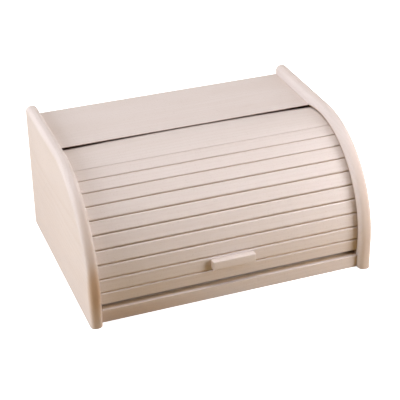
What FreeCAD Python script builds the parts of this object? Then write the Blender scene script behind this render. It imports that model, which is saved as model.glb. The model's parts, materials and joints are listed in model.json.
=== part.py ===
import FreeCAD, Part
import math
import os

# A wooden bread box with a roll top, in millimetres.
# +X is to the right seen from the front, +Y is to the back, +Z is up.
# The origin is on the underside, in the middle of the box's width and depth.

# ---- Carcass ----
box_width = 390.0
box_depth = 289.0
box_height = 183.0
cheek_thickness = 16.0
cheek_arc_radius = 142.0
cheek_roundover = 7.0
base_thickness = 18.0
base_setback = 10.7            # from the cheeks' front edges to the base board's front edge
top_board_recess = 12.9        # from the cheeks' top edges down to the top board
top_board_thickness = 12.0
top_board_front_y = 29.0
back_panel_thickness = 6.0
rebate_depth = 8.0             # into each cheek, for the back panel's side edge
panel_side_clearance = 0.5
board_edge_break = 0.6         # small chamfer on the boards' long front edges

# ---- Track: the tambour runs on one arc, so all its slats turn about one axis ----
track_y = 0.0
track_z = 41.0
groove_depth = 8.0
groove_clearance = 0.5
groove_end_gap = 0.35          # degrees left between the tambour's ends and the grooves' ends

# ---- Tambour ----
slat_count = 10
slat_pitch = 8.33              # degrees
first_edge_angle = -8.15       # degrees up from the front, to the lowest slat's bottom edge
tambour_travel = 80.0          # degrees
slat_face_radius = 130.0       # from the track's axis to a slat's outer face
slat_thickness = 6.5
slat_width = 17.9
slat_end_clearance = 0.6
slat_edge_radius = 2.2
head_slat_pitches = 4          # the wide head slat takes up as much track as this many slats
head_slat_gap = 0.02           # degrees, from the highest slat
head_slat_taper = 2.7          # its face comes this much nearer the axis at its back edge
cloth_thickness = 0.7
cloth_width = 344.0
cloth_end_inset = 1.5          # degrees left bare at the tambour's two ends

# ---- Handle ----
handle_slat = 2                # counted up from the lowest slat
handle_width = 58.5
handle_height = 12.0
handle_depth = 9.5
handle_chamfer = 1.5
screw_offset_x = 18.0
screw_shank_radius = 1.5
screw_head_radius = 2.9
screw_head_depth = 2.0
screw_length = 13.5
screw_tip_length = 2.5
recess_width = 0.7
recess_length = 3.2
recess_depth = 1.1

# ---- Dowels and panel pins ----
dowel_chamfer = 0.7
dowel_glue_gap = 1.0           # hole depth past each end of a dowel
base_dowel_radius = 4.0
base_dowel_in_cheek = 10.0
base_dowel_in_board = 20.0
base_dowel_rows_y = (-105.0, -35.0, 35.0, 105.0)
top_dowel_radius = 3.0
top_dowel_in_cheek = 9.0
top_dowel_in_board = 21.0
top_dowel_rows_y = (76.0, 103.0, 130.0)
pin_shank_radius = 0.7
pin_head_radius = 1.3
pin_head_thickness = 0.4
pin_length = 13.0             # short enough to stay behind the groove
pin_rows_x = (-150.0, -75.0, 0.0, 75.0, 150.0)
pin_rows_z = (35.0, 75.0, 115.0, 148.0)

# ---- Derived places ----
front_y = -box_depth / 2
back_y = box_depth / 2
cheek_inner_x = box_width / 2 - cheek_thickness
cheek_outer_x = box_width / 2
panel_front_y = back_y - back_panel_thickness
top_board_top_z = box_height - top_board_recess
top_board_under_z = top_board_top_z - top_board_thickness
slat_back_radius = slat_face_radius - slat_thickness
slat_corner_radius = math.hypot(slat_face_radius, slat_width / 2)
groove_outer_radius = slat_corner_radius + groove_clearance
groove_inner_radius = slat_back_radius - groove_clearance
slat_length = 2 * (cheek_inner_x + groove_depth - slat_end_clearance)
fold_half_angle = math.radians(slat_pitch / 2)
slat_fold_radius = slat_back_radius / math.cos(fold_half_angle)
head_edge_angle = first_edge_angle + slat_count * slat_pitch
last_edge_angle = head_edge_angle + head_slat_pitches * slat_pitch
x_axis = FreeCAD.Vector(1, 0, 0)
y_axis = FreeCAD.Vector(0, 1, 0)
track_centre = FreeCAD.Vector(0, track_y, track_z)


def box(x0, x1, y0, y1, z0, z1):
    """A block between two corners."""
    return Part.makeBox(x1 - x0, y1 - y0, z1 - z0, FreeCAD.Vector(x0, y0, z0))


def on_track(radius, angle):
    """The point at x = 0 that is at a radius and an angle (degrees up from the front) on the track."""
    turn = math.radians(angle)
    return FreeCAD.Vector(0, track_y - radius * math.cos(turn), track_z + radius * math.sin(turn))


def swing(shape, angle):
    """Turns a shape made at the front of the track, at angle 0, up to its place on the track."""
    turned = shape.copy()
    turned.rotate(track_centre, -x_axis, angle)
    return turned


def extrude_across(wire, x0, x1):
    """A closed outline in the plane x = 0, made solid from x0 to x1."""
    face = Part.Face(wire)
    face.translate(x_axis * x0)
    return face.extrude(x_axis * (x1 - x0))


def track_sector(inner_radius, outer_radius, start, end, x0, x1):
    """A solid stretch of the track's ring, such as a routed groove removes."""
    middle = (start + end) / 2
    outer_arc = Part.Arc(on_track(outer_radius, start), on_track(outer_radius, middle),
                         on_track(outer_radius, end))
    inner_arc = Part.Arc(on_track(inner_radius, end), on_track(inner_radius, middle),
                         on_track(inner_radius, start))
    end_side = Part.LineSegment(on_track(outer_radius, end), on_track(inner_radius, end))
    start_side = Part.LineSegment(on_track(inner_radius, start), on_track(outer_radius, start))
    edges = [part.toShape() for part in (outer_arc, end_side, inner_arc, start_side)]
    return extrude_across(Part.Wire(edges), x0, x1)


def cheek_outline():
    """A cheek's side view: a straight foot, a quarter round up to the top, and a square back."""
    arc_y = front_y + cheek_arc_radius
    arc_z = box_height - cheek_arc_radius
    slant = cheek_arc_radius * math.sqrt(0.5)
    foot_back = FreeCAD.Vector(0, back_y, 0)
    foot_front = FreeCAD.Vector(0, front_y, 0)
    arc_start = FreeCAD.Vector(0, front_y, arc_z)
    arc_middle = FreeCAD.Vector(0, arc_y - slant, arc_z + slant)
    arc_end = FreeCAD.Vector(0, arc_y, box_height)
    top_back = FreeCAD.Vector(0, back_y, box_height)
    curves = (
        Part.LineSegment(foot_back, foot_front),
        Part.LineSegment(foot_front, arc_start),
        Part.Arc(arc_start, arc_middle, arc_end),
        Part.LineSegment(arc_end, top_back),
        Part.LineSegment(top_back, foot_back),
    )
    return Part.Wire([curve.toShape() for curve in curves])


def is_rounded_edge(edge):
    """True for a cheek's long edges at the front and the top, but not at its bottom or back."""
    bounds = edge.BoundBox
    runs_across = bounds.XLength > 1.0
    at_bottom = bounds.ZMax < 1.0
    at_back = bounds.YMin > back_y - 1.0
    return not (runs_across or at_bottom or at_back)


def dowel(radius, x0, x1, y, z):
    """A chamfered dowel lying along X."""
    peg = Part.makeCylinder(radius, x1 - x0, FreeCAD.Vector(x0, y, z), x_axis)
    return peg.makeChamfer(dowel_chamfer, [edge for edge in peg.Edges if edge.BoundBox.XLength < 0.1])


def side_dowels(side, radius, in_cheek, in_board, rows_y, z):
    """The dowels of one board's end, and the holes that they are glued into."""
    pegs = []
    holes = []
    for y in rows_y:
        ends = sorted((side * (cheek_inner_x - in_board), side * (cheek_inner_x + in_cheek)))
        pegs.append(dowel(radius, ends[0], ends[1], y, z))
        hole_start = FreeCAD.Vector(ends[0] - dowel_glue_gap, y, z)
        hole_length = ends[1] - ends[0] + 2 * dowel_glue_gap
        holes.append(Part.makeCylinder(radius, hole_length, hole_start, x_axis))
    return pegs, holes


def base_dowels(side):
    return side_dowels(side, base_dowel_radius, base_dowel_in_cheek, base_dowel_in_board,
                       base_dowel_rows_y, base_thickness / 2)


def top_dowels(side):
    return side_dowels(side, top_dowel_radius, top_dowel_in_cheek, top_dowel_in_board,
                       top_dowel_rows_y, top_board_top_z - top_board_thickness / 2)


def panel_pin(x, z):
    """A small nail driven from the back, its head flush with the back panel."""
    head = Part.makeCylinder(pin_head_radius, pin_head_thickness,
                             FreeCAD.Vector(x, back_y, z), -y_axis)
    shank = Part.makeCylinder(pin_shank_radius, pin_length, FreeCAD.Vector(x, back_y, z), -y_axis)
    return head.fuse(shank).removeSplitter()


def back_panel_pins():
    """The pins into the base board's back edge and into both cheeks' rebates."""
    rebate_middle_x = cheek_inner_x + rebate_depth / 2
    pins = [panel_pin(x, base_thickness / 2) for x in pin_rows_x]
    for side in (-1, 1):
        pins += [panel_pin(side * rebate_middle_x, z) for z in pin_rows_z]
    return pins


def cheek(side):
    """One side board: rounded over, grooved for the slats and rebated for the back panel."""
    faces_x = sorted((side * cheek_inner_x, side * cheek_outer_x))
    board = extrude_across(cheek_outline(), faces_x[0], faces_x[1])
    board = board.makeFillet(cheek_roundover, [edge for edge in board.Edges if is_rounded_edge(edge)])

    groove_x = sorted((side * (cheek_inner_x - 1), side * (cheek_inner_x + groove_depth)))
    groove = track_sector(groove_inner_radius, groove_outer_radius,
                          first_edge_angle - groove_end_gap,
                          last_edge_angle + tambour_travel + groove_end_gap,
                          groove_x[0], groove_x[1])
    rebate_x = sorted((side * (cheek_inner_x - 1), side * (cheek_inner_x + rebate_depth)))
    rebate = box(rebate_x[0], rebate_x[1], panel_front_y, back_y + 1, -1, top_board_under_z)
    cutters = [groove, rebate] + base_dowels(side)[1] + top_dowels(side)[1] + back_panel_pins()
    return board.cut(cutters)


def break_front_edge(board, z):
    """Chamfers a board's long front edge at height z."""
    edges = []
    for edge in board.Edges:
        bounds = edge.BoundBox
        lies_at_front = bounds.YMax < board.BoundBox.YMin + 0.1
        if bounds.XLength > box_width / 2 and lies_at_front and abs(bounds.ZMax - z) < 0.1:
            edges.append(edge)
    return board.makeChamfer(board_edge_break, edges)


def base_board():
    board = box(-cheek_inner_x, cheek_inner_x, front_y + base_setback, panel_front_y, 0, base_thickness)
    board = break_front_edge(board, base_thickness)
    return board.cut(base_dowels(-1)[1] + base_dowels(1)[1] + back_panel_pins())


def top_board():
    """The fixed lid board, hollowed under its front edge so that the tambour passes below it."""
    board = box(-cheek_inner_x, cheek_inner_x, top_board_front_y, back_y,
                top_board_under_z, top_board_top_z)
    passage = Part.makeCylinder(groove_outer_radius + groove_clearance, box_width,
                                track_centre - x_axis * box_width / 2, x_axis)
    return board.cut([passage] + top_dowels(-1)[1] + top_dowels(1)[1])


def back_panel():
    half_width = cheek_inner_x + rebate_depth - panel_side_clearance
    panel = box(-half_width, half_width, panel_front_y, back_y, 0, top_board_under_z)
    return panel.cut(back_panel_pins())


def slat_middle_angle(number):
    return first_edge_angle + (number - 0.5) * slat_pitch


def handle_screw(x):
    """A countersunk wood screw along -Y at the track's height, driven from inside the box."""
    head_y = track_y - slat_back_radius + cloth_thickness
    neck_y = head_y - screw_head_depth
    tip_y = head_y - screw_length
    head = Part.makeCone(screw_head_radius, screw_shank_radius, screw_head_depth,
                         FreeCAD.Vector(x, head_y, track_z), -y_axis)
    shank = Part.makeCylinder(screw_shank_radius, neck_y - tip_y - screw_tip_length,
                              FreeCAD.Vector(x, neck_y, track_z), -y_axis)
    tip = Part.makeCone(screw_shank_radius, 0, screw_tip_length,
                        FreeCAD.Vector(x, tip_y + screw_tip_length, track_z), -y_axis)
    return head.fuse([shank, tip]).removeSplitter()


def screw_recess(x):
    """The cross recess in a screw's head."""
    head_y = track_y - slat_back_radius + cloth_thickness
    arm = recess_length / 2
    half = recess_width / 2
    bottom_y = head_y - recess_depth
    upright = box(x - half, x + half, bottom_y, head_y + 1, track_z - arm, track_z + arm)
    level = box(x - arm, x + arm, bottom_y, head_y + 1, track_z - half, track_z + half)
    return upright.fuse(level)


def screws_at_front():
    return [handle_screw(side * screw_offset_x) for side in (-1, 1)]


def round_long_edges(board, corners):
    """Rounds over the edges along X that pass through the corners."""
    edges = []
    for edge in board.Edges:
        starts_at = edge.Vertexes[0].Point
        near_corner = any(math.hypot(starts_at.y - corner.y, starts_at.z - corner.z) < 0.1 for corner in corners)
        if edge.BoundBox.XLength > slat_length / 2 and near_corner:
            edges.append(edge)
    return board.makeFillet(slat_edge_radius, edges)


def slat(number):
    """One slat: square in section, with its two outer long edges rounded over."""
    face_y = track_y - slat_face_radius
    top_z = track_z + slat_width / 2
    bottom_z = track_z - slat_width / 2
    blank = box(-slat_length / 2, slat_length / 2, face_y, track_y - slat_back_radius, bottom_z, top_z)
    blank = round_long_edges(blank, [FreeCAD.Vector(0, face_y, z) for z in (bottom_z, top_z)])
    if number == handle_slat:
        blank = blank.cut(screws_at_front())
    return swing(blank, slat_middle_angle(number))


def head_slat():
    """The wide top slat: one board curved to the track, thinner where it slips under the top board."""
    start = head_edge_angle + head_slat_gap
    middle = (start + last_edge_angle) / 2
    face_start = on_track(slat_face_radius, start)
    face_middle = on_track(slat_face_radius - head_slat_taper / 2, middle)
    face_end = on_track(slat_face_radius - head_slat_taper, last_edge_angle)
    back_end = on_track(slat_fold_radius, last_edge_angle)
    back_middle = on_track(slat_fold_radius, middle)
    back_start = on_track(slat_fold_radius, start)
    curves = (
        Part.Arc(face_start, face_middle, face_end),
        Part.LineSegment(face_end, back_end),
        Part.Arc(back_end, back_middle, back_start),
        Part.LineSegment(back_start, face_start),
    )
    outline = Part.Wire([curve.toShape() for curve in curves])
    board = extrude_across(outline, -slat_length / 2, slat_length / 2)
    return round_long_edges(board, [face_start, face_end])


def handle():
    """The pull: a small block on the outside of its slat, chamfered all round its front face."""
    outer_y = track_y - slat_face_radius - handle_depth
    block = box(-handle_width / 2, handle_width / 2, outer_y, outer_y + handle_depth,
                track_z - handle_height / 2, track_z + handle_height / 2)
    front_edges = [edge for edge in block.Edges if edge.BoundBox.YMax < outer_y + 0.1]
    block = block.makeChamfer(handle_chamfer, front_edges)
    return swing(block.cut(screws_at_front()), slat_middle_angle(handle_slat))


def handle_screws():
    screws = [screw.cut(screw_recess(side * screw_offset_x))
              for side, screw in zip((-1, 1), screws_at_front())]
    return swing(Part.Compound(screws), slat_middle_angle(handle_slat))


def cloth_face(slat_plane_radius):
    """One face of the cloth's section: flat behind each slat, folded between two, then curved."""
    first_turn = math.radians(slat_pitch / 2 - cloth_end_inset)
    fold_radius = slat_plane_radius / math.cos(fold_half_angle)
    points = [on_track(slat_plane_radius / math.cos(first_turn), first_edge_angle + cloth_end_inset)]
    for fold in range(1, slat_count + 1):
        points.append(on_track(fold_radius, first_edge_angle + fold * slat_pitch))
    end_angle = last_edge_angle - cloth_end_inset
    end = on_track(fold_radius, end_angle)
    curved = Part.Arc(points[-1], on_track(fold_radius, (head_edge_angle + end_angle) / 2), end)
    edges = [Part.LineSegment(near, far).toShape() for near, far in zip(points, points[1:])]
    return edges + [curved.toShape()], points[0], end


def backing_cloth():
    """The canvas glued behind the slats, which hinges them together."""
    outer, outer_start, outer_end = cloth_face(slat_back_radius)
    inner, inner_start, inner_end = cloth_face(slat_back_radius - cloth_thickness)
    bottom = Part.LineSegment(inner_start, outer_start).toShape()
    top = Part.LineSegment(outer_end, inner_end).toShape()
    outline = Part.Wire(outer + [top] + inner[::-1] + [bottom])
    sheet = extrude_across(outline, -cloth_width / 2, cloth_width / 2)
    screws = [swing(screw, slat_middle_angle(handle_slat)) for screw in screws_at_front()]
    return sheet.cut(screws)


nodes = {
    "left_cheek": cheek(-1),
    "right_cheek": cheek(1),
    "base_board": base_board(),
    "top_board": top_board(),
    "back_panel": back_panel(),
    "base_dowels": Part.Compound(base_dowels(-1)[0] + base_dowels(1)[0]),
    "top_dowels": Part.Compound(top_dowels(-1)[0] + top_dowels(1)[0]),
    "back_panel_pins": Part.Compound(back_panel_pins()),
    "head_slat": head_slat(),
    "backing_cloth": backing_cloth(),
    "handle": handle(),
    "handle_screws": handle_screws(),
}
for slat_number in range(1, slat_count + 1):
    nodes["slat_%02d" % slat_number] = slat(slat_number)

os.makedirs("parts", exist_ok=True)
for node_name, shape in nodes.items():
    shape.exportStep("parts/%s.step" % node_name)
    print(node_name, "solids", len(shape.Solids), "volume", round(shape.Volume, 1), shape.isValid())
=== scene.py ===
import itertools
import json
import math

import bmesh
import bpy
from mathutils import Matrix, Vector, noise


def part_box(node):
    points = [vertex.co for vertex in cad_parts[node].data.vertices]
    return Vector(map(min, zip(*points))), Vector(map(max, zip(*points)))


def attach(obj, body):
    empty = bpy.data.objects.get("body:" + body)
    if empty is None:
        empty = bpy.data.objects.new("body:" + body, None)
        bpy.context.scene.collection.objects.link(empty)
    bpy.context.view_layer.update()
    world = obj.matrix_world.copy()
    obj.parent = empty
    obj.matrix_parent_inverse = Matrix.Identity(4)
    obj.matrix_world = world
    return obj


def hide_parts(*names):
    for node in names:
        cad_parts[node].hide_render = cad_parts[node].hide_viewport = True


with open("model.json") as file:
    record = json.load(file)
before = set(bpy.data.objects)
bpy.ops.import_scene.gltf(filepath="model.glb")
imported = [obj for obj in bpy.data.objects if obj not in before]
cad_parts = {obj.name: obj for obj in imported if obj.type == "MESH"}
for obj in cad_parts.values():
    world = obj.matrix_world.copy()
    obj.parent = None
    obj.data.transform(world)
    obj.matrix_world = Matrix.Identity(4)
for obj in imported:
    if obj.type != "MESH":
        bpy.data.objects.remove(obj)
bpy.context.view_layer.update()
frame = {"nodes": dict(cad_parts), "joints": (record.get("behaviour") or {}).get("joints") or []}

scene = bpy.context.scene

# Lengths are in metres. +X is to the right, -Y to the front, +Z up, as in the frame.
joint = frame["joints"][0]
trackCentre = Vector(joint["pos_m"])
travel = math.radians(joint["range_deg"][1])
slatCount = sum(name.startswith("slat_") for name in frame["nodes"])
print("frame loaded:", len(frame["nodes"]), "nodes,", slatCount, "slats")


# the tambour's track is one arc about trackCentre, and radii are distances from that axis

tambour = {
    "pitch": math.radians(8.33),
    "firstEdge": math.radians(-8.15),   # where the lowest slat begins, from the level of the axis
    "headPitches": 4,          # the wide head slat takes up as much track as this many slats
    "faceRadius": 0.130,
    "thickness": 0.0065,
    "width": 0.0179,
    "grooveClearance": 0.0005,
    "endGap": math.radians(0.35),
    "roundOver": 0.0022,
    "upperRoundOver": 0.0015,  # on the topmost slats
    "upperFrom": 8,
    "roundSegments": 5,
    "backArris": 0.00035,
    "backSegments": 2,
    "waver": 0.00012,
    "waverIn": (11.0, 7.3, 0.0),   # bends in a metre, step from one slat to the next, layer of the noise
    "waverUp": (9.0, 5.1, 4.0),
    "lengthCuts": 26,
}
slatFace = tambour["faceRadius"]
slatBack = slatFace - tambour["thickness"]
slatCorner = math.hypot(slatFace, tambour["width"] / 2)
foldRadius = slatBack / math.cos(tambour["pitch"] / 2)
headEdge = tambour["firstEdge"] + slatCount * tambour["pitch"]
lastEdge = headEdge + tambour["headPitches"] * tambour["pitch"]
gapShadeEdge = 0.1313               # painted shade in the gaps reaches no farther out from the axis than this


def trackPoint(x, radius, angle):
    return Vector((x, trackCentre.y - radius * math.cos(angle), trackCentre.z + radius * math.sin(angle)))


def slatAngle(number):
    return tambour["firstEdge"] + (number - 0.5) * tambour["pitch"]


def objectFromMesh(name, bm):
    mesh = bpy.data.meshes.new(name)
    bm.to_mesh(mesh)
    bm.free()
    thing = bpy.data.objects.new(name, mesh)
    scene.collection.objects.link(thing)
    return thing


# camera, lights, floor

cameraSetup = {
    "azimuth": -20.16,         # degrees to the left of straight in front
    "elevation": 29.35,
    "roll": -0.88,
    "distance": 1.674,
    "target": (0.0046, 0.0, 0.0696),
    "lens": 110.2,
    "sensorWidth": 36.0,
}

lightAim = (0.0, 0.0, 0.09)    # all the lights face this point

lightSetup = {
    # name: place, size, watts, colour
    "leftWindow": ((-2.0, 0.1, 0.8), 1.2, 39.0, (0.915, 1.000, 1.130)),
    "leftLow": ((-2.0, -0.25, 0.45), 0.6, 8.0, (0.98, 1.0, 1.02)),
    "rightHigh": ((1.5, -0.3, 1.7), 1.2, 9.5, (0.98, 1.0, 1.03)),
    "rightNear": ((0.75, -0.75, 0.35), 0.5, 5.4, (0.98, 1.0, 1.04)),
    "rightClose": ((0.55, -0.5, 0.3), 0.35, 1.6, (0.93, 1.0, 1.15)),
    "rightSide": ((2.2, 0.6, 0.4), 1.0, 8.0, (1.0, 1.0, 1.0)),
    "backLow": ((0.0, 2.4, 0.45), 1.2, 17.0, (1.0, 1.0, 1.0)),
    "overhead": ((0.0, 0.0, 2.2), 1.4, 26.5, (1.03, 0.99, 0.965)),
}

stageSetup = {
    "white": (1.0, 1.0, 1.0, 1.0),
    "floorSize": 30.0,
    "floorSquares": 8,
    "floorColour": (0.93, 0.93, 0.93, 1.0),
    "floorRoughness": 0.9,
    "floorSpecular": 0.1,
    "floorGlow": 0.62,                        # so that the floor looks evenly white
    "floorBounce": (0.37, 0.220, 0.012, 1.0),   # the weak warm light that it throws back
    "skyStrength": 0.02,                      # as a light
    "skySeen": 0.80,                          # as it looks behind the floor
}


def makeCamera():
    azimuth, elevation, roll = (math.radians(cameraSetup[key]) for key in ("azimuth", "elevation", "roll"))
    back = Vector((math.sin(azimuth) * math.cos(elevation), -math.cos(azimuth) * math.cos(elevation),
                   math.sin(elevation)))
    level = (-back).cross(Vector((0, 0, 1))).normalized()
    upright = level.cross(-back)
    right = level * math.cos(roll) + upright * math.sin(roll)
    up = upright * math.cos(roll) - level * math.sin(roll)
    camera = bpy.data.objects.new("camera", bpy.data.cameras.new("camera"))
    camera.data.lens = cameraSetup["lens"]
    camera.data.sensor_width = cameraSetup["sensorWidth"]
    turn = Matrix((right, up, back)).transposed().to_4x4()
    place = Vector(cameraSetup["target"]) + back * cameraSetup["distance"]
    camera.matrix_world = Matrix.Translation(place) @ turn
    scene.collection.objects.link(camera)
    scene.camera = camera


def makeLights():
    for name, (place, size, watts, colour) in lightSetup.items():
        lamp = bpy.data.lights.new(name, "AREA")
        lamp.shape = "SQUARE"
        lamp.size = size
        lamp.energy = watts
        lamp.color = colour
        light = bpy.data.objects.new(name, lamp)
        light.location = place
        light.rotation_euler = (Vector(lightAim) - Vector(place)).to_track_quat("-Z", "Y").to_euler()
        scene.collection.objects.link(light)


def splitByCamera(tree, lighting, seen, end):
    # the camera sees one shader, and the other one lights the scene
    ray = tree.nodes.new("ShaderNodeLightPath")
    either = tree.nodes.new("ShaderNodeMixShader")
    tree.links.new(ray.outputs["Is Camera Ray"], either.inputs["Fac"])
    tree.links.new(lighting, either.inputs[1])
    tree.links.new(seen, either.inputs[2])
    tree.links.new(either.outputs["Shader"], end.inputs["Surface"])


def makeStage():
    world = bpy.data.worlds.new("studio")
    world.use_nodes = True
    tree = world.node_tree
    light = tree.nodes["Background"]
    seen = tree.nodes.new("ShaderNodeBackground")
    for sky, strength in ((light, stageSetup["skyStrength"]), (seen, stageSetup["skySeen"])):
        sky.inputs["Color"].default_value = stageSetup["white"]
        sky.inputs["Strength"].default_value = strength
    splitByCamera(tree, light.outputs["Background"], seen.outputs["Background"], tree.nodes["World Output"])
    scene.world = world
    scene.view_settings.view_transform = "Standard"

    squares = stageSetup["floorSquares"]
    bm = bmesh.new()
    bmesh.ops.create_grid(bm, x_segments=squares, y_segments=squares, size=stageSetup["floorSize"] / 2)
    floor = objectFromMesh("floor", bm)
    floor.data.materials.append(floorMaterial())


def floorMaterial():
    # white to look at, while what it lights is lit as by a wooden worktop
    paper = bpy.data.materials.new("studioPaper")
    paper.use_nodes = True
    tree = paper.node_tree
    seen = tree.nodes["Principled BSDF"]
    seen.inputs["Roughness"].default_value = stageSetup["floorRoughness"]
    seen.inputs["Specular IOR Level"].default_value = stageSetup["floorSpecular"]
    seen.inputs["Base Color"].default_value = stageSetup["floorColour"]
    seen.inputs["Emission Color"].default_value = stageSetup["white"]
    seen.inputs["Emission Strength"].default_value = stageSetup["floorGlow"]
    bounce = tree.nodes.new("ShaderNodeBsdfDiffuse")
    bounce.inputs["Color"].default_value = stageSetup["floorBounce"]
    splitByCamera(tree, bounce.outputs["BSDF"], seen.outputs["BSDF"], tree.nodes["Material Output"])
    return paper


makeCamera()
makeLights()
makeStage()
print("camera, lights and floor are set")


# node helpers

def addNode(tree, kind, settings=None, **sockets):
    # sockets: an input's name with _ for spaces, or i and its number, to a value or another node's output
    node = tree.nodes.new(kind)
    for key, value in (settings or {}).items():
        setattr(node, key, value)
    for key, value in sockets.items():
        numbered = key[0] == "i" and key[1:].isdigit()
        socket = node.inputs[int(key[1:]) if numbered else key.replace("_", " ")]
        if isinstance(value, bpy.types.NodeSocket):
            tree.links.new(value, socket)
        else:
            socket.default_value = value
    return node


def maths(tree, operation, first, second=0.0, clamp=False):
    node = addNode(tree, "ShaderNodeMath", {"operation": operation, "use_clamp": clamp}, i0=first, i1=second)
    return node.outputs[0]


def between(tree, value, low, high):
    return maths(tree, "ADD", low, maths(tree, "MULTIPLY", value, high - low))


def vectorMaths(tree, operation, first, second=(0, 0, 0)):
    node = addNode(tree, "ShaderNodeVectorMath", {"operation": operation}, i0=first, i1=second)
    return node.outputs["Value" if operation in ("LENGTH", "DOT_PRODUCT") else "Vector"]


def split(tree, vector):
    return addNode(tree, "ShaderNodeSeparateXYZ", Vector=vector).outputs


def noiseAt(tree, vector, scale=1.0, detail=2.0, roughness=0.5, output="Fac"):
    node = addNode(tree, "ShaderNodeTexNoise", Vector=vector, Scale=scale, Detail=detail, Roughness=roughness)
    return node.outputs[output]


def ramp(tree, value, low, high, toLow=0.0, toHigh=1.0):
    node = addNode(tree, "ShaderNodeMapRange", {"interpolation_type": "SMOOTHSTEP"}, Value=value)
    for name, number in (("From Min", low), ("From Max", high), ("To Min", toLow), ("To Max", toHigh)):
        node.inputs[name].default_value = number
    return node.outputs[0]


def mixColour(tree, factor, first, second):
    node = addNode(tree, "ShaderNodeMix", {"data_type": "RGBA"}, i0=factor, i6=first, i7=second)
    return node.outputs[2]


def mixShare(tree, mask, share, first, second):
    return mixColour(tree, maths(tree, "MULTIPLY", mask, share), first, second)


def newGroup(name, inputs, outputs):
    # every socket is a number, apart from the input called Vector
    group = bpy.data.node_groups.new(name, "ShaderNodeTree")
    for socketName in inputs:
        kind = "NodeSocketVector" if socketName == "Vector" else "NodeSocketFloat"
        group.interface.new_socket(socketName, in_out="INPUT", socket_type=kind)
    for socketName in outputs:
        group.interface.new_socket(socketName, in_out="OUTPUT", socket_type="NodeSocketFloat")
    return group, group.nodes.new("NodeGroupInput").outputs, group.nodes.new("NodeGroupOutput").inputs


def newMaterial(name):
    material = bpy.data.materials.new(name)
    material.use_nodes = True
    tree = material.node_tree
    return material, tree, tree.nodes["Principled BSDF"], tree.nodes.new("ShaderNodeTexCoord").outputs


def feedShader(tree, shader, look, colour, roughness, height):
    tree.links.new(colour, shader.inputs["Base Color"])
    tree.links.new(roughness, shader.inputs["Roughness"])
    relief = addNode(tree, "ShaderNodeBump", Height=height, Strength=look["bumpStrength"],
                     Distance=look["bump"])
    tree.links.new(relief.outputs["Normal"], shader.inputs["Normal"])


# shared effects

figureSetup = {
    # how fine each pattern is: in a millimetre along the grain, then across it both ways
    "wander": (0.0035, 0.02, 0.02),
    "fibre": (0.03, 2.4, 2.4),
    "fleck": (0.24, 1.15, 1.15),
    "cloud": (0.007, 0.03, 0.03),
    "fibreNoise": {"detail": 4.0, "roughness": 0.62},
    "cloudNoise": {"detail": 3.0, "roughness": 0.55},
    "plankStep": 431.0,            # mm along the grain from one plank's figure to the next one's
    "secondSeed": 37.7,
    "pithY": (0.5, 170.0),         # the pith lies where a chance number, less the first, times the
    "pithZ": (1.3, 130.0),         # second in mm says
    "latePower": 2.2,              # a ring darkens slowly
    "lateEdge": 0.86,              # and ends sharply from this share of it on
    "fleckSize": (0.13, 0.24),
    "fleckChosen": (0.45, 0.55),   # about half of the cells hold a fleck
}


def makeWoodFigure():
    # the figure inside a plank whose grain runs along the vector's X; rings circle the pith beside it
    look = figureSetup
    group, start, end = newGroup("woodFigure", ("Vector", "Plank", "Ring Width", "Ring Wander"),
                                 ("Ring", "Fibre", "Fleck", "Cloud", "Tone"))
    plank = start["Plank"]
    millimetres = vectorMaths(group, "MULTIPLY", start["Vector"], (1000, 1000, 1000))
    shift = addNode(group, "ShaderNodeCombineXYZ", X=maths(group, "MULTIPLY", plank, look["plankStep"]))
    along = vectorMaths(group, "ADD", millimetres, shift.outputs[0])

    def pattern(name):
        return vectorMaths(group, "MULTIPLY", along, look[name])

    wander = maths(group, "SUBTRACT", noiseAt(group, pattern("wander")), 0.5)
    wander = maths(group, "MULTIPLY", wander, start["Ring Wander"])
    parts = split(group, millimetres)
    chance = {}
    toPith = {}
    for axis, seed in (("Y", plank), ("Z", maths(group, "ADD", plank, look["secondSeed"]))):
        white = addNode(group, "ShaderNodeTexWhiteNoise", {"noise_dimensions": "1D"}, W=seed)
        chance[axis] = white.outputs["Value"]
        less, reach = look["pith" + axis]
        offset = maths(group, "MULTIPLY", maths(group, "SUBTRACT", chance[axis], less), reach)
        toPith[axis] = maths(group, "ADD", parts[axis], offset)
    radius = vectorMaths(group, "LENGTH", addNode(group, "ShaderNodeCombineXYZ", **toPith).outputs[0])
    radius = maths(group, "ADD", radius, wander)
    turns = maths(group, "FRACT", maths(group, "DIVIDE", radius, start["Ring Width"]))
    late = maths(group, "MULTIPLY", maths(group, "POWER", turns, look["latePower"]),
                 ramp(group, turns, look["lateEdge"], 1.0, 1.0, 0.0))

    cells = addNode(group, "ShaderNodeTexVoronoi", Vector=pattern("fleck"), Scale=1.0, Randomness=1.0)
    near = ramp(group, cells.outputs["Distance"], *look["fleckSize"], 1.0, 0.0)
    some = ramp(group, split(group, cells.outputs["Color"])["X"], *look["fleckChosen"])

    for name, value in (
            ("Ring", late),
            ("Fibre", noiseAt(group, pattern("fibre"), **look["fibreNoise"])),
            ("Fleck", maths(group, "MULTIPLY", near, some)),
            ("Cloud", noiseAt(group, pattern("cloud"), **look["cloudNoise"])),
            ("Tone", chance["Y"])):
        group.links.new(value, end[name])
    return group


arrisSetup = {
    "samples": 6,
    "sameNormal": (0.93, 0.998),   # how far a rounded normal agrees with the flat one
}


def makeArris():
    # 1 on a piece's rounded-off edges, 0 on its faces, for the paler wood that sanding leaves there
    group, start, end = newGroup("arris", ("Radius",), ("Edge",))
    rounded = addNode(group, "ShaderNodeBevel", {"samples": arrisSetup["samples"]}, Radius=start["Radius"])
    surface = addNode(group, "ShaderNodeNewGeometry")
    match = vectorMaths(group, "DOT_PRODUCT", rounded.outputs["Normal"], surface.outputs["Normal"])
    group.links.new(ramp(group, match, *arrisSetup["sameNormal"], 1.0, 0.0), end["Edge"])
    return group


woodFigure = makeWoodFigure()
arris = makeArris()


# materials

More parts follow.
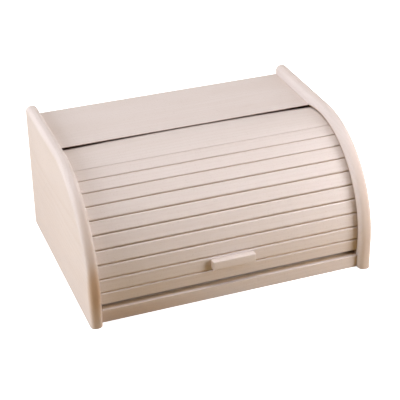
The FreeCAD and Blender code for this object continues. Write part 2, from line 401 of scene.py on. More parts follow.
woodSetup = {
    "sapwood": (0.685, 0.592, 0.545, 1.0),
    "latewood": (0.600, 0.487, 0.420, 1.0),
    "fleck": (0.420, 0.300, 0.220, 1.0),
    "endGrain": (0.580, 0.460, 0.385, 1.0),
    "edge": (0.735, 0.655, 0.615, 1.0),
    "ringWidth": 4.2,          # mm between two growth rings
    "ringWander": 11.0,        # mm
    "ringShare": 0.40,
    "fibreRange": (0.42, 0.72),
    "streak": 0.24,            # how strongly the fibres show
    "cloudRange": (0.35, 0.70),
    "cloudShare": 0.20,
    "toneShare": 0.15,         # one piece differs from another by this much
    "fleckShare": 0.5,
    "endRange": (0.35, 0.95),
    "endMottle": (0.72, 1.12),
    "edgeRadius": 0.0009,
    "edgeShare": 0.45,
    # painted shade: the colour of a darker brown patch where the wood lies in shade
    "shadePatch": (0.480, 0.290, 0.160, 1.0),
    "shadePatchPlace": None,        # middle and half-widths of a patch of painted shade
    "shadePatchFray": 0.35,
    "shadePatchRange": (0.35, 1.25),
    "shadePatchStrength": 0.75,
    # painted shade: a brown band darkening the gaps along the tambour's path
    "gapShade": (0.290, 0.145, 0.060, 1.0),
    "gapShadeBand": None,        # nearest and farthest distance from the track's axis of the painted gap shade
    "gapShadeSoft": 0.0010,
    "gapShadeReach": 0.190,      # no farther than this from the middle of the box
    "gapShadeStrength": 0.85,
    "roughness": (0.60, 0.74),
    "endRoughness": 0.15,      # more than that on end grain
    "specular": 0.3,
    "bump": 0.00005,
    "bumpStrength": 0.5,
    "fleckDepth": 0.5,
}


def shadePatchMask(tree, look, point, fibre):
    # 1 in the middle of the painted shade patch, fading outwards with a frayed rim
    middle, halves = look["shadePatchPlace"]
    scaled = vectorMaths(tree, "MULTIPLY", vectorMaths(tree, "SUBTRACT", point, middle),
                         [1 / half for half in halves])
    reach = maths(tree, "ADD", vectorMaths(tree, "LENGTH", scaled),
                  maths(tree, "MULTIPLY", fibre, look["shadePatchFray"]))
    return ramp(tree, reach, *look["shadePatchRange"], 1.0, 0.0)


def gapShadeMask(tree, look, point):
    # 1 where painted shade darkens the gaps along the tambour's path, 0 elsewhere
    near, far = look["gapShadeBand"]
    soft = look["gapShadeSoft"]
    inside = maths(tree, "LESS_THAN", maths(tree, "ABSOLUTE", split(tree, point)["X"]), look["gapShadeReach"])
    arm = vectorMaths(tree, "MULTIPLY", vectorMaths(tree, "SUBTRACT", point, trackCentre), (0, 1, 1))
    arm = vectorMaths(tree, "LENGTH", arm)
    band = maths(tree, "MULTIPLY", ramp(tree, arm, near - soft, near),
                 ramp(tree, arm, far, far + soft, 1.0, 0.0))
    return maths(tree, "MULTIPLY", band, inside)


def woodMaterial(name, grain, changes=None):
    # grain is the axis along which the wood grows in the piece, "X" or "Y"
    look = dict(woodSetup, **(changes or {}))
    material, tree, shader, place = newMaterial(name)
    point = place["Object"]
    turned = addNode(tree, "ShaderNodeMapping", Vector=point)
    if grain == "Y":
        turned.inputs["Rotation"].default_value = (0, 0, math.radians(-90))
    plank = addNode(tree, "ShaderNodeAttribute", {"attribute_name": "plank"})
    figure = addNode(tree, "ShaderNodeGroup", {"node_tree": woodFigure},
                     Vector=turned.outputs["Vector"], Plank=plank.outputs["Fac"],
                     Ring_Width=look["ringWidth"], Ring_Wander=look["ringWander"])
    ring, fibre, fleck, cloud, tone = figure.outputs

    colour = mixShare(tree, ring, look["ringShare"], look["sapwood"], look["latewood"])
    streak = ramp(tree, fibre, *look["fibreRange"], 0.0, look["streak"])
    colour = mixColour(tree, streak, colour, look["latewood"])
    shade = ramp(tree, cloud, *look["cloudRange"], 0.0, look["cloudShare"])
    colour = mixColour(tree, shade, colour, look["latewood"])
    colour = mixShare(tree, tone, look["toneShare"], colour, look["latewood"])
    colour = mixShare(tree, fleck, look["fleckShare"], colour, look["fleck"])

    facing = maths(tree, "ABSOLUTE", split(tree, place["Normal"])[grain])
    endMask = ramp(tree, facing, *look["endRange"])
    mottled = between(tree, fibre, *look["endMottle"])
    colour = mixColour(tree, maths(tree, "MULTIPLY", endMask, mottled, clamp=True), colour, look["endGrain"])

    # painted shade patch, where one is placed
    if look["shadePatchPlace"]:
        colour = mixShare(tree, shadePatchMask(tree, look, point, fibre), look["shadePatchStrength"], colour,
                          look["shadePatch"])
    edge = addNode(tree, "ShaderNodeGroup", {"node_tree": arris}, Radius=look["edgeRadius"])
    colour = mixShare(tree, edge.outputs["Edge"], look["edgeShare"], colour, look["edge"])
    # painted shade in the gaps along the tambour's path
    if look["gapShadeBand"]:
        colour = mixShare(tree, gapShadeMask(tree, look, point), look["gapShadeStrength"], colour, look["gapShade"])

    rough = maths(tree, "ADD", between(tree, fibre, *look["roughness"]),
                  maths(tree, "MULTIPLY", endMask, look["endRoughness"]), clamp=True)
    height = maths(tree, "SUBTRACT", fibre, maths(tree, "MULTIPLY", fleck, look["fleckDepth"]))
    shader.inputs["Specular IOR Level"].default_value = look["specular"]
    feedShader(tree, shader, look, colour, rough, height)
    return material


cheekWood = woodMaterial("cheekWood", "Y", {
    # painted shade: the dark line where the slats' ends meet the cheek
    "gapShade": (0.360, 0.200, 0.090, 1.0),
    "gapShadeBand": (slatFace - 0.007, gapShadeEdge + 0.0004),
    "shadePatchPlace": ((-0.187, -0.143, 0.055), (0.014, 0.012, 0.062)),     # painted shade low on the left cheek's front
    "streak": 0.18,
})
baseWood = woodMaterial("baseWood", "X", {
    "shadePatchPlace": ((-0.170, -0.136, 0.004), (0.170, 0.014, 0.020)),     # painted shade along the left half of its front
    "shadePatchStrength": 0.45,
    # painted shade on the base's top where it lies under the lowest slat
    "gapShade": (0.600, 0.400, 0.220, 1.0),
    "gapShadeBand": (slatFace - 0.0045, gapShadeEdge),
    "gapShadeStrength": 0.8,
})
topWood = woodMaterial("topWood", "X", {
    # painted shade: the dark slot under the top board's front edge
    "gapShade": (0.190, 0.070, 0.030, 1.0),
    "gapShadeBand": (slatFace - 0.002, gapShadeEdge + 0.0003),
    "gapShadeStrength": 0.95,
    "streak": 0.14,
})
slatWood = woodMaterial("slatWood", "X", {
    # painted shade: darkens the grooves between the slats
    "gapShade": (0.640, 0.450, 0.270, 1.0),
    "gapShadeBand": (slatFace - 0.0050, slatFace - 0.0016),
    "gapShadeStrength": 0.7,
})
headWood = woodMaterial("headWood", "X", {
    "shadePatch": (0.150, 0.055, 0.030, 1.0),
    "shadePatchPlace": ((0.0, 0.052, 0.165), (1.000, 0.017, 0.060)),         # painted shade: dark under the top board
    "shadePatchStrength": 0.9,
    "streak": 0.14,
})
handleWood = woodMaterial("handleWood", "X")
dowelWood = woodMaterial("dowelWood", "X", {"sapwood": (0.66, 0.52, 0.40, 1.0)})


plywoodSetup = {
    "face": (0.690, 0.570, 0.460, 1.0),
    "dark": (0.560, 0.430, 0.310, 1.0),
    "glue": (0.300, 0.190, 0.120, 1.0),
    "plies": 3.0,
    "middlePly": 1.0,          # counted from nought
    "plank": 3.0,
    "stretch": (1.0, 1.0, 0.35),
    "ringWidth": 7.0,          # mm
    "ringWander": 60.0,        # mm
    "ringShare": 0.5,
    "fibreRange": (0.40, 0.75),
    "streak": 0.5,
    "fleckShare": 0.5,
    "middleShare": 0.8,
    "glueLine": (0.0, 0.05),   # of a ply's thickness
    "glueShare": 0.8,
    "faceRange": (0.6, 0.8),
    "roughness": (0.55, 0.75),
    "bump": 0.00012,
    "bumpStrength": 0.6,
}


def plywoodMaterial():
    # rotary-cut face veneers with slow figure, and crossed plies on the edges
    look = plywoodSetup
    low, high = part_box("back_panel")
    material, tree, shader, place = newMaterial("plywood")
    figure = addNode(tree, "ShaderNodeGroup", {"node_tree": woodFigure},
                     Vector=vectorMaths(tree, "MULTIPLY", place["Object"], look["stretch"]),
                     Plank=look["plank"], Ring_Width=look["ringWidth"], Ring_Wander=look["ringWander"])
    ring, fibre, fleck = figure.outputs[:3]
    face = mixShare(tree, ring, look["ringShare"], look["face"], look["dark"])
    face = mixColour(tree, ramp(tree, fibre, *look["fibreRange"], 0.0, look["streak"]), face, look["dark"])
    face = mixShare(tree, fleck, look["fleckShare"], face, look["glue"])

    depth = maths(tree, "SUBTRACT", split(tree, place["Object"])["Y"], low.y)
    depth = maths(tree, "DIVIDE", depth, high.y - low.y)
    layer = maths(tree, "MULTIPLY", depth, look["plies"])
    middle = maths(tree, "COMPARE", maths(tree, "FLOOR", layer), look["middlePly"])
    line = ramp(tree, maths(tree, "PINGPONG", layer, 0.5), *look["glueLine"], look["glueShare"], 0.0)
    ply = mixShare(tree, middle, look["middleShare"], look["face"], look["dark"])
    ply = mixColour(tree, line, ply, look["glue"])

    facing = maths(tree, "ABSOLUTE", split(tree, place["Normal"])["Y"])
    colour = mixColour(tree, ramp(tree, facing, *look["faceRange"]), ply, face)
    feedShader(tree, shader, look, colour, between(tree, fibre, *look["roughness"]), fibre)
    return material


canvasSetup = {
    "thread": (0.720, 0.650, 0.540, 1.0),
    "shadow": (0.430, 0.370, 0.280, 1.0),
    "glueStain": (0.620, 0.530, 0.400, 1.0),
    "threadPitch": 0.00075,
    "wobbleScale": 0.12,
    "wobble": (0.35, 0.35, 0.35),   # of a thread's pitch
    "warpHeight": 4.0,
    "weftHeight": 3.2,
    "heightPower": 0.6,
    "threadRange": (0.1, 0.7),
    "slub": (0.02, 0.8, 0.0),
    "slubRange": (0.5, 0.8),
    "slubShare": 0.35,
    "stainScale": 28.0,
    "stainRange": (0.50, 0.72),
    "stainShare": 0.45,
    "roughness": (0.80, 0.95),
    "sheen": 0.25,
    "bump": 0.0002,
    "bumpStrength": 0.8,
}


def canvasMaterial():
    # plain weave on the cloth's own UV map, which is in metres
    look = canvasSetup
    material, tree, shader, place = newMaterial("canvas")
    fine = 1 / look["threadPitch"]
    cloth = vectorMaths(tree, "MULTIPLY", place["UV"], (fine, fine, 0.0))
    wobble = noiseAt(tree, cloth, scale=look["wobbleScale"], output="Color")
    cloth = vectorMaths(tree, "ADD", cloth, vectorMaths(tree, "MULTIPLY", wobble, look["wobble"]))
    parts = split(tree, cloth)
    across, along = parts["X"], parts["Y"]
    crossing = maths(tree, "MULTIPLY", maths(tree, "PINGPONG", across, 0.5),
                     maths(tree, "PINGPONG", along, 0.5))
    pair = maths(tree, "ADD", maths(tree, "FLOOR", across), maths(tree, "FLOOR", along))
    warpOver = maths(tree, "MODULO", maths(tree, "ABSOLUTE", pair), 2.0)
    weftOver = maths(tree, "SUBTRACT", 1.0, warpOver)
    warpUp = maths(tree, "MULTIPLY", maths(tree, "MULTIPLY", crossing, warpOver), look["warpHeight"])
    weftUp = maths(tree, "MULTIPLY", maths(tree, "MULTIPLY", crossing, weftOver), look["weftHeight"])
    height = maths(tree, "POWER", maths(tree, "ADD", warpUp, weftUp), look["heightPower"])
    slub = noiseAt(tree, vectorMaths(tree, "MULTIPLY", cloth, look["slub"]), detail=3.0)
    stain = noiseAt(tree, place["Object"], scale=look["stainScale"], detail=4.0)
    colour = mixColour(tree, ramp(tree, height, *look["threadRange"]), look["shadow"], look["thread"])
    stained = ramp(tree, stain, *look["stainRange"], 0.0, look["stainShare"])
    colour = mixColour(tree, stained, colour, look["glueStain"])
    slubbed = ramp(tree, slub, *look["slubRange"], 0.0, look["slubShare"])
    colour = mixColour(tree, slubbed, colour, look["thread"])
    shader.inputs["Sheen Weight"].default_value = look["sheen"]
    feedShader(tree, shader, look, colour, between(tree, slub, *look["roughness"]), height)
    return material


steelSetup = {
    "dull": (0.62, 0.62, 0.60, 1.0),
    "bright": (0.74, 0.73, 0.68, 1.0),
    "patchScale": 900.0,
    "marks": (9000, 1500, 1500),
    "roughness": (0.25, 0.50),
    "bump": 0.00002,
    "bumpStrength": 0.4,
}


def steelMaterial():
    # bright zinc on small fixings: a slightly uneven tone with fine tool marks
    look = steelSetup
    material, tree, shader, place = newMaterial("zincSteel")
    patches = noiseAt(tree, place["Object"], scale=look["patchScale"], detail=3.0)
    marks = noiseAt(tree, vectorMaths(tree, "MULTIPLY", place["Object"], look["marks"]))
    colour = mixColour(tree, patches, look["dull"], look["bright"])
    shader.inputs["Metallic"].default_value = 1.0
    feedShader(tree, shader, look, colour, between(tree, marks, *look["roughness"]), marks)
    return material


plywood = plywoodMaterial()
canvas = canvasMaterial()
zincSteel = steelMaterial()
print("materials are made")


# piece helpers

pieceSetup = {
    "mergeDistance": 1e-7,
    "arrisSegments": 2,
    "arrisAngle": 50,          # degrees; flatter edges stay as they are
    "lengthwise": 0.01,        # an edge that goes this far sideways runs along the piece
    "touching": 0.001,         # closer than this is in the same plane
    "cutSpare": 0.002,         # cutters stand this much proud of the wood
}
plankNumbers = itertools.count(1)


def blockMesh(low, high):
    bm = bmesh.new()
    bmesh.ops.create_cube(bm, size=1.0)
    size = Vector(high) - Vector(low)
    bmesh.ops.scale(bm, vec=size, verts=bm.verts)
    bmesh.ops.translate(bm, vec=(Vector(low) + Vector(high)) / 2, verts=bm.verts)
    return bm


def bevelEdges(bm, edges, width, segments):
    bmesh.ops.bevel(bm, geom=edges, offset=width, offset_type="OFFSET", segments=segments, profile=0.5,
                    affect="EDGES", clamp_overlap=True, material=-1)


def lengthwiseEdges(bm):
    return [edge for edge in bm.edges
            if abs(edge.verts[0].co.x - edge.verts[1].co.x) > pieceSetup["lengthwise"]]


def closeOutline(bm, first, last, places):
    # straight edges from the last point through the places back to the first, and a face inside them
    corners = [last] + [bm.verts.new((first.co.x, y, z)) for y, z in places] + [first]
    for pair in zip(corners, corners[1:]):
        bm.edges.new(pair)
    return bmesh.ops.contextual_create(bm, geom=bm.edges[:])["faces"]


def extrudeFaces(bm, faces, distance):
    # gives the faces a thickness along X
    made = bmesh.ops.extrude_face_region(bm, geom=faces)["geom"]
    moved = [part for part in made if isinstance(part, bmesh.types.BMVert)]
    bmesh.ops.translate(bm, vec=(distance, 0, 0), verts=moved)


def mergeAndTurnOut(bm):
    bmesh.ops.remove_doubles(bm, verts=bm.verts, dist=pieceSetup["mergeDistance"])
    bmesh.ops.recalc_face_normals(bm, faces=bm.faces)


def pieceFromMesh(name, bm, material, body, nodes, arrisWidth=0.0, smoothAngle=35):
    mergeAndTurnOut(bm)
    piece = objectFromMesh(name, bm)
    dressPiece(piece, material, body, nodes, arrisWidth, smoothAngle)
    return piece


def dressPiece(piece, material, body, nodes, arrisWidth, smoothAngle):
    mesh = piece.data
    mesh.materials.clear()
    mesh.materials.append(material)
    mesh.shade_smooth()
    mesh.set_sharp_from_angle(angle=math.radians(smoothAngle))
    plank = mesh.attributes.new("plank", "FLOAT", "POINT")
    plank.data.foreach_set("value", [float(next(plankNumbers))] * len(mesh.vertices))
    if arrisWidth:
        ease = piece.modifiers.new("arris", "BEVEL")
        ease.width = arrisWidth
        ease.segments = pieceSetup["arrisSegments"]
        ease.limit_method = "ANGLE"
        ease.angle_limit = math.radians(pieceSetup["arrisAngle"])
    normals = piece.modifiers.new("faceNormals", "WEIGHTED_NORMAL")
    normals.keep_sharp = not arrisWidth
    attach(piece, body)
    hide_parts(*nodes)


def turnPart(bm, profile, centre, steps):
    # profile: pairs of a distance from the line through centre along Y and a place on it
    line = [bm.verts.new(centre + Vector((radius, place, 0))) for radius, place in profile]
    edges = [bm.edges.new(pair) for pair in zip(line, line[1:])]
    bmesh.ops.spin(bm, geom=line + edges, cent=centre, axis=(0, 1, 0), angle=math.tau, steps=steps,
                   use_merge=True)


def cutWith(piece, cutterBm):
    # takes the cutter's solid out of the piece and keeps the result as its mesh
    bmesh.ops.recalc_face_normals(cutterBm, faces=cutterBm.faces)
    cutter = objectFromMesh("cutter", cutterBm)
    cut = piece.modifiers.new("cut", "BOOLEAN")
    cut.operation = "DIFFERENCE"
    cut.solver = "EXACT"
    cut.object = cutter
    bpy.context.view_layer.update()
    result = bpy.data.meshes.new_from_object(piece.evaluated_get(bpy.context.evaluated_depsgraph_get()))
    piece.modifiers.clear()
    old, cutterMesh = piece.data, cutter.data
    piece.data = result
    result.name = piece.name
    bpy.data.objects.remove(cutter)
    for mesh in (old, cutterMesh):
        bpy.data.meshes.remove(mesh)


def swing(bm, angle):
    # from the front of the track up along it
    turn = Matrix.Rotation(-angle, 4, "X")
    move = Matrix.Translation(trackCentre) @ turn @ Matrix.Translation(-trackCentre)
    bmesh.ops.transform(bm, matrix=move, verts=bm.verts)


# carcass

cheekSetup = {
    "arcRadius": 0.142,
    "arcSteps": 44,
    "roundOver": 0.007,
    "roundSegments": 8,
    "grooveDepth": 0.008,
    "grooveSteps": 120,
    "rebateGap": 0.0005,
    "arris": 0.00035,
    "smoothAngle": 30,
}


def grooveCutter(xNear, xFar):
    bm = bmesh.new()
    inner = slatBack - tambour["grooveClearance"]
    outer = slatCorner + tambour["grooveClearance"]
    start = tambour["firstEdge"] - tambour["endGap"]
    sweep = lastEdge - tambour["firstEdge"] + travel + 2 * tambour["endGap"]
    corners = ((xNear, inner), (xFar, inner), (xFar, outer), (xNear, outer))
    face = bm.faces.new([bm.verts.new(trackPoint(x, radius, start)) for x, radius in corners])
    bmesh.ops.spin(bm, geom=[face], cent=trackCentre, axis=(1, 0, 0), angle=-sweep,
                   steps=cheekSetup["grooveSteps"])
    return bm


def outsideEdges(bm, backY):
    # those around the front, the arc and the top, on both sides of the cheek
    touching = pieceSetup["touching"]
    for edge in bm.edges:
        first, second = (vert.co for vert in edge.verts)
        across = abs(first.x - second.x) > touching
        atBottom = max(first.z, second.z) < touching
        atBack = min(first.y, second.y) > backY - touching
        if not (across or atBottom or atBack):
            yield edge


def makeCheek(node, name, side):
    # side is -1 for the left cheek and 1 for the right one
    low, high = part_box(node)
    panelLow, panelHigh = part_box("back_panel")
    innerX = low.x if side > 0 else high.x
    arcCentre = Vector((innerX, low.y + cheekSetup["arcRadius"], high.z - cheekSetup["arcRadius"]))
    bm = bmesh.new()
    arcStart = bm.verts.new((innerX, low.y, arcCentre.z))
    bmesh.ops.spin(bm, geom=[arcStart], cent=arcCentre, axis=(1, 0, 0), angle=-math.pi / 2,
                   steps=cheekSetup["arcSteps"])
    arcEnd = max(bm.verts, key=lambda vert: vert.co.y)
    outline = closeOutline(bm, arcStart, arcEnd, ((high.y, high.z), (high.y, 0.0), (low.y, 0.0)))
    extrudeFaces(bm, outline, side * (high.x - low.x))
    bevelEdges(bm, list(outsideEdges(bm, high.y)), cheekSetup["roundOver"], cheekSetup["roundSegments"])
    bmesh.ops.recalc_face_normals(bm, faces=bm.faces)
    cheek = objectFromMesh(name, bm)

    spare = pieceSetup["cutSpare"]
    cutWith(cheek, grooveCutter(innerX - side * spare, innerX + side * cheekSetup["grooveDepth"]))
    rebate = sorted((innerX - side * spare, side * (panelHigh.x + cheekSetup["rebateGap"])))
    cutWith(cheek, blockMesh((rebate[0], panelLow.y, -spare), (rebate[1], high.y + spare, panelHigh.z)))
    dressPiece(cheek, cheekWood, "carcass", [node], cheekSetup["arris"],
               cheekSetup["smoothAngle"])


makeCheek("left_cheek", "cheekLeft", -1)
makeCheek("right_cheek", "cheekRight", 1)
print("cheeks are made")


boardSetup = {
    "baseArris": 0.0007,
    "baseSegments": 3,
    "topArris": 0.0005,
    "reliefSteps": 14,
    "reliefRadius": slatCorner + 2 * tambour["grooveClearance"],
    "panelArris": 0.0003,
    "panelSegments": 2,
}


def makeBaseBoard():
    bm = blockMesh(*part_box("base_board"))
    bevelEdges(bm, bm.edges[:], boardSetup["baseArris"], boardSetup["baseSegments"])
    pieceFromMesh("baseBoard", bm, baseWood, "carcass", ["base_board"])


def makeTopBoard():
    # hollowed under its front edge, along the tambour's own curve
    low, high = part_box("top_board")
    radius = boardSetup["reliefRadius"]
    startAngle = math.acos((trackCentre.y - low.y) / radius)
    endAngle = math.pi - math.asin((low.z - trackCentre.z) / radius)
    bm = bmesh.new()
    reliefStart = bm.verts.new(trackPoint(low.x, radius, startAngle))
    bmesh.ops.spin(bm, geom=[reliefStart], cent=trackCentre, axis=(1, 0, 0), angle=startAngle - endAngle,
                   steps=boardSetup["reliefSteps"])
    reliefEnd = max(bm.verts, key=lambda vert: vert.co.y)
    outline = closeOutline(bm, reliefStart, reliefEnd, ((high.y, low.z), (high.y, high.z), (low.y, high.z)))
    extrudeFaces(bm, outline, high.x - low.x)
    pieceFromMesh("topBoard", bm, topWood, "carcass", ["top_board"], boardSetup["topArris"])


def makeBackPanel():
    bm = blockMesh(*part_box("back_panel"))
    bevelEdges(bm, bm.edges[:], boardSetup["panelArris"], boardSetup["panelSegments"])
    pieceFromMesh("backPanel", bm, plywood, "carcass", ["back_panel"])


makeBaseBoard()
makeTopBoard()
makeBackPanel()
print("boards are made")


# tambour

def slatWaver(x, number, bends, step, layer):
    return tambour["waver"] * noise.noise(Vector((x * bends, number * step, layer)))


def makeSlat(number):
    low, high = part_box("slat_%02d" % number)
    front = trackCentre.y - slatFace
    back = front + tambour["thickness"]
    half = tambour["width"] / 2
    bm = blockMesh((low.x, front, trackCentre.z - half), (high.x, back, trackCentre.z + half))
    outer = [edge for edge in lengthwiseEdges(bm)
             if edge.verts[0].co.y < front + pieceSetup["touching"]]
    roundOver = tambour["roundOver"] if number < tambour["upperFrom"] else tambour["upperRoundOver"]
    bevelEdges(bm, outer, roundOver, tambour["roundSegments"])
    inner = [edge for edge in lengthwiseEdges(bm)
             if min(vert.co.y for vert in edge.verts) > back - 0.1 * pieceSetup["touching"]]
    bevelEdges(bm, inner, tambour["backArris"], tambour["backSegments"])
    bmesh.ops.subdivide_edges(bm, edges=lengthwiseEdges(bm), cuts=tambour["lengthCuts"], use_grid_fill=True)
    for vert in bm.verts:
        vert.co.y += slatWaver(vert.co.x, number, *tambour["waverIn"])
        vert.co.z += slatWaver(vert.co.x, number, *tambour["waverUp"])
    swing(bm, slatAngle(number))
    pieceFromMesh("slat%02d" % number, bm, slatWood, "tambour", ["slat_%02d" % number])


headSetup = {
    "gap": math.radians(0.02),
    "taper": 0.0027,           # its face comes this much nearer the axis at its back edge
    "crown": 0.0028,           # its middle has bowed out this much there
    "curveSteps": 20,
    "endAngle": 0.001,         # radians; closer than this to an end is the end
    "smoothAngle": 30,
}


def onTrack(point):
    # the point's sideways place, distance from the axis and angle along the track
    arm = point - trackCentre
    return arm.x, math.hypot(arm.y, arm.z), math.atan2(arm.z, -arm.y)


def makeHeadSlat():
    # one wide board curved to the track, thinner where it slips under the top board
    low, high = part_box("head_slat")
    start = headEdge + headSetup["gap"]
    bm = bmesh.new()
    corners = [bm.verts.new(trackPoint(low.x, radius, start)) for radius in (foldRadius, slatFace)]
    bmesh.ops.spin(bm, geom=[bm.edges.new(corners)], cent=trackCentre, axis=(1, 0, 0),
                   angle=start - lastEdge, steps=headSetup["curveSteps"])
    extrudeFaces(bm, bm.faces[:], high.x - low.x)
    bmesh.ops.recalc_face_normals(bm, faces=bm.faces)
    ends = []
    for edge in lengthwiseEdges(bm):
        radius, angle = onTrack(edge.verts[0].co)[1:]
        onFace = radius > slatFace - 0.1 * pieceSetup["touching"]
        atEnd = angle < start + headSetup["endAngle"] or angle > lastEdge - headSetup["endAngle"]
        if onFace and atEnd:
            ends.append(edge)
    bevelEdges(bm, ends, tambour["roundOver"], tambour["roundSegments"])
    bmesh.ops.subdivide_edges(bm, edges=lengthwiseEdges(bm), cuts=tambour["lengthCuts"], use_grid_fill=True)
    half = (high.x - low.x) / 2
    for vert in bm.verts:
        x, radius, angle = onTrack(vert.co)
        share = (angle - start) / (lastEdge - start)
        outer = (radius - foldRadius) / (slatFace - foldRadius)
        crown = headSetup["crown"] * share * (1 - (x / half) ** 2)
        radius += outer * (crown - headSetup["taper"] * share)
        vert.co = trackPoint(x, radius, angle)
    pieceFromMesh("headSlat", bm, headWood, "tambour", ["head_slat"],
                  smoothAngle=headSetup["smoothAngle"])


for slatNumber in range(1, slatCount + 1):
    makeSlat(slatNumber)
makeHeadSlat()
print("slats are made")


handleSetup = {
    "slat": 2,
    "height": 0.012,
    "depth": 0.0095,
    "chamfer": 0.0015,
    "chamferSegments": 2,
    "arris": 0.0004,
    "smoothAngle": 20,
}

screwSetup = {
    "headRadius": 0.0029,
    "headRim": 0.0002,
    "headDepth": 0.002,
    "headRise": 0.0007,        # through the cloth, from the slat's back
    "shankRadius": 0.0015,
    "length": 0.0135,
    "point": 0.0025,
    "recess": (0.0032, 0.0007, 0.0011),   # the cross's length, width and depth
    "steps": 28,
    "smoothAngle": 30,
}


def makeHandle():
    low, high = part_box("handle")
    back = trackCentre.y - slatFace
    half = handleSetup["height"] / 2
    bm = blockMesh((low.x, back - handleSetup["depth"], trackCentre.z - half),
                   (high.x, back, trackCentre.z + half))
    front = [edge for edge in bm.edges
             if max(vert.co.y for vert in edge.verts) < back - pieceSetup["touching"]]
    bevelEdges(bm, front, handleSetup["chamfer"], handleSetup["chamferSegments"])
    swing(bm, slatAngle(handleSetup["slat"]))
    pieceFromMesh("handleBlock", bm, handleWood, "tambour", ["handle"], handleSetup["arris"],
                  handleSetup["smoothAngle"])


def makeScrews():
    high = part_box("handle_screws")[1]
    rim, shank = screwSetup["headRadius"], screwSetup["shankRadius"]
    offset = high.x - rim
    headY = trackCentre.y - slatBack + screwSetup["headRise"]
    profile = [(0.0, 0.0), (rim, 0.0), (rim, -screwSetup["headRim"]), (shank, -screwSetup["headDepth"]),
               (shank, screwSetup["point"] - screwSetup["length"]), (0.0, -screwSetup["length"])]
    bm = bmesh.new()
    for x in (-offset, offset):
        turnPart(bm, profile, Vector((x, headY, trackCentre.z)), screwSetup["steps"])
    mergeAndTurnOut(bm)
    screws = objectFromMesh("handleScrews", bm)
    length, width, depth = screwSetup["recess"]
    top = headY + pieceSetup["cutSpare"]
    for x in (-offset, offset):
        for long, wide in ((length, width), (width, length)):
            cutWith(screws, blockMesh((x - long / 2, headY - depth, trackCentre.z - wide / 2),
                                      (x + long / 2, top, trackCentre.z + wide / 2)))
    turned = bmesh.new()
    turned.from_mesh(screws.data)
    swing(turned, slatAngle(handleSetup["slat"]))
    turned.to_mesh(screws.data)
    turned.free()
    dressPiece(screws, zincSteel, "tambour", ["handle_screws"], 0.0, screwSetup["smoothAngle"])


clothSetup = {
    "width": 0.344,
    "endInset": math.radians(1.5),
    "thickness": 0.0006,
    "glueLine": 0.0001,        # between the slats' backs and the cloth
    "acrossCuts": 86,
    "facetCuts": 6,
    "ripple": 0.00012,
    "rippleScale": (16.0, 60.0, 2.0),   # across, along, layer of the noise
    "ragged": 0.0004,
    "raggedScale": (90.0, 8.0, 6.0),    # along, across, layer of the noise
    "selvedge": 0.499,         # points farther out than this share of the width are its sides
    "smoothAngle": 60,
}


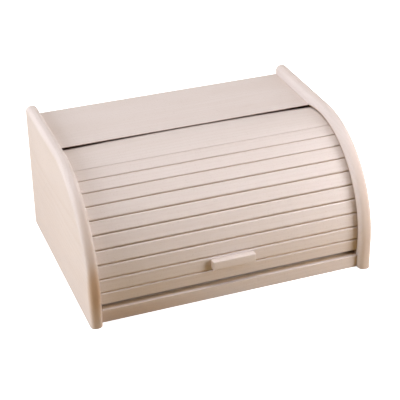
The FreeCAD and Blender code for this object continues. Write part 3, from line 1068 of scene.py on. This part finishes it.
def makeCloth():
    # one strip, flat behind each slat and folded between two; its UV map is its flat cut, in metres
    radius = slatBack - clothSetup["thickness"] / 2 - clothSetup["glueLine"]
    first = tambour["firstEdge"] + clothSetup["endInset"]
    last = lastEdge - clothSetup["endInset"]
    width = clothSetup["width"]
    flatLength = radius * (last - first)
    steps = (slatCount + tambour["headPitches"]) * clothSetup["facetCuts"]
    bm = bmesh.new()
    bmesh.ops.create_grid(bm, x_segments=clothSetup["acrossCuts"], y_segments=steps, size=0.5)
    uvLayer = bm.loops.layers.uv.new("UVMap")
    for face in bm.faces:
        for loop in face.loops:
            loop[uvLayer].uv = ((loop.vert.co.x + 0.5) * width, (loop.vert.co.y + 0.5) * flatLength)
    rippleAcross, rippleAlong, rippleLayer = clothSetup["rippleScale"]
    raggedAlong, raggedAcross, raggedLayer = clothSetup["raggedScale"]
    for vert in bm.verts:
        side, share = vert.co.x, vert.co.y + 0.5
        angle = first + (last - first) * share
        behind = math.floor((angle - tambour["firstEdge"]) / tambour["pitch"]) + 1
        slope = angle - slatAngle(behind) if angle < headEdge else tambour["pitch"] / 2
        facet = radius / math.cos(slope)
        ripple = noise.noise(Vector((side * rippleAcross, share * rippleAlong, rippleLayer)))
        x = side * width
        if abs(side) > clothSetup["selvedge"]:
            ragged = noise.noise(Vector((share * raggedAlong, side * raggedAcross, raggedLayer)))
            x += clothSetup["ragged"] * ragged
        vert.co = trackPoint(x, facet - abs(clothSetup["ripple"] * ripple), angle)
    cloth = pieceFromMesh("backingCloth", bm, canvas, "tambour", ["backing_cloth"],
                          smoothAngle=clothSetup["smoothAngle"])
    cloth.modifiers.clear()
    thick = cloth.modifiers.new("thickness", "SOLIDIFY")
    thick.thickness = clothSetup["thickness"]
    thick.offset = 0.0


makeHandle()
makeScrews()
makeCloth()
print("handle, screws and cloth are made")


# fixings of the carcass

pinSetup = {
    "headRadius": 0.0013,
    "headDepth": 0.0004,
    "dome": 0.0002,            # the heads stand this much proud of the panel
    "domeCurve": ((0.0, 1.0), (0.4, 0.86), (0.75, 0.5), (1.0, 0.0)),   # shares of the radius and height
    "shankRadius": 0.0007,
    "point": 0.0015,
    "steps": 20,
    "apart": 0.005,            # two pins are never closer
    "flush": 0.00001,
}


def pinPlaces(node, backY):
    # the middle of each group of the node's points that lies in the panel's back face
    heads = []
    for vert in frame["nodes"][node].data.vertices:
        if vert.co.y > backY - pinSetup["flush"]:
            for head in heads:
                if (head[0] - vert.co).length < pinSetup["apart"]:
                    head.append(vert.co)
                    break
            else:
                heads.append([vert.co])
    for head in heads:
        middle = [(min(co[axis] for co in head) + max(co[axis] for co in head)) / 2 for axis in (0, 2)]
        yield Vector((middle[0], backY, middle[1]))


def makePanelPins():
    low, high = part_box("back_panel_pins")
    rim, dome, shank = pinSetup["headRadius"], pinSetup["dome"], pinSetup["shankRadius"]
    length = high.y - low.y
    profile = [(out * rim, up * dome) for out, up in pinSetup["domeCurve"]]
    profile += [(rim, -pinSetup["headDepth"]), (shank, -pinSetup["headDepth"]),
                (shank, pinSetup["point"] - length), (0.0, -length)]
    bm = bmesh.new()
    for place in pinPlaces("back_panel_pins", high.y):
        turnPart(bm, profile, place, pinSetup["steps"])
    pieceFromMesh("panelPins", bm, zincSteel, "carcass", ["back_panel_pins"])


makePanelPins()
for dowels in ("base_dowels", "top_dowels"):
    mesh = frame["nodes"][dowels].data
    mesh.materials.clear()
    mesh.materials.append(dowelWood)
print("pins and dowels are made")
